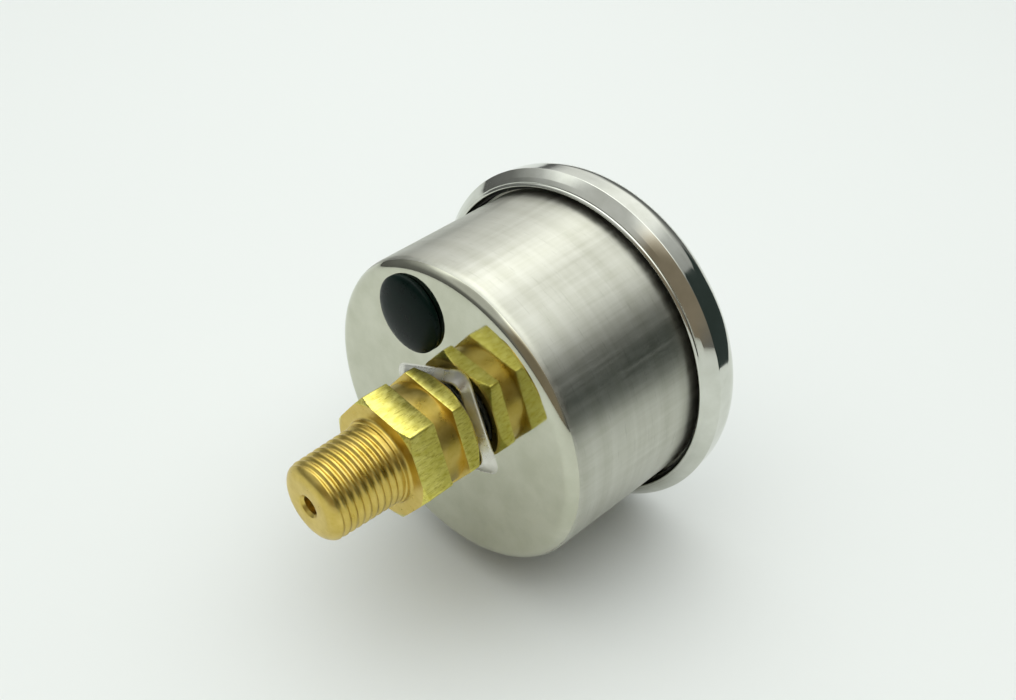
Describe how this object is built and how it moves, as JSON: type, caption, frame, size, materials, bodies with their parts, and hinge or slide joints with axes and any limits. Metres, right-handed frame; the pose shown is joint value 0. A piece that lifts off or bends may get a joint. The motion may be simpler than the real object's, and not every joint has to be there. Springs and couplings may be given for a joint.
{
  "type": "pressure gauge",
  "caption": "Round dial pressure gauge with a steel case and bezel, a Bourdon tube movement, and a brass threaded connector in the centre of its back.",
  "frame": {"origin": "centre of the connector thread's end face, on the gauge axis", "axes": "+Y along the gauge axis, out of the connector's thread; the dial faces -Y; +Z is the upright of the dial"},
  "size_m": [0.048, 0.0489, 0.048],
  "materials": {
    "polished_steel": "polished stainless steel, with fine turned lines on the side of the case",
    "plain_steel": "plain bright steel",
    "brass": "machined brass",
    "bronze": "drawn phosphor bronze",
    "black_rubber": "matt black rubber",
    "plug_rubber": "satin black-green moulded rubber",
    "clear_window": "clear polished window",
    "dial_white": "satin white paint",
    "pointer_black": "satin black paint"
  },
  "bodies": {
    "root": {"case_shell": "polished_steel", "bezel_ring": "polished_steel", "case_gasket": "black_rubber", "window_gasket": "black_rubber", "window_lens": "clear_window", "connector_socket": "brass", "socket_gasket": "black_rubber", "socket_washer": "plain_steel", "socket_nut": "brass", "restrictor_screw": "brass", "stem_block": "brass", "bourdon_tube": "bronze", "movement_back_plate": "brass", "movement_front_plate": "brass", "stem_screw_1": "plain_steel", "stem_screw_2": "plain_steel", "movement_pillar_1": "brass", "movement_pillar_2": "brass", "movement_screw_1": "plain_steel", "movement_screw_2": "plain_steel", "movement_screw_3": "plain_steel", "movement_screw_4": "plain_steel", "hairspring": "bronze", "hairspring_stud": "brass", "dial_plate": "dial_white", "dial_post_1": "brass", "dial_post_2": "brass", "dial_screw_1": "plain_steel", "dial_screw_2": "plain_steel", "pointer_stop_pin": "plain_steel"},
    "sector": {"sector_gear": "brass", "sector_arbor": "plain_steel", "link_pin_sector": "plain_steel"},
    "pointer": {"pinion": "plain_steel", "hairspring_collet": "brass", "pointer": "pointer_black", "pointer_hub": "brass"},
    "link": {"link_rod": "brass"},
    "tube_end": {"tube_tip": "brass", "link_pin_tip": "plain_steel"},
    "plug": {"fill_plug": "plug_rubber"}
  },
  "joints": [
    {"name": "sector_swing", "type": "hinge", "parent": "root", "child": "sector", "pos_m": [0.00611, -0.03506, -0.0066], "axis": [0, -1, 0], "range_deg": [0, 33.75], "stiffness_Nm_per_rad": 0.0005},
    {"name": "pointer_spin", "type": "hinge", "parent": "root", "child": "pointer", "pos_m": [0, -0.03506, 0], "axis": [0, 1, 0], "range_deg": [0, 270], "deforming": ["hairspring"]},
    {"name": "link_turn", "type": "hinge", "parent": "sector", "child": "link", "pos_m": [0.0101, -0.03396, -0.0089], "axis": [0, 1, 0], "range_deg": [0, 35.5]},
    {"name": "tip_travel", "type": "slide", "parent": "root", "child": "tube_end", "axis": [0.342, 0, 0.9397], "range_m": [0, 0.0027], "deforming": ["bourdon_tube"]},
    {"name": "plug_pull", "type": "slide", "parent": "root", "child": "plug", "axis": [0, 1, 0], "range_m": [0, 0.008]}
  ],
  "couplings": [
    {"joint": "pointer_spin", "follows": "sector_swing", "ratio": 8},
    {"joint": "link_turn", "follows": "sector_swing", "ratio": 1.0489},
    {"joint": "tip_travel", "follows": "sector_swing", "m_per_rad": 0.0045497}
  ]
}
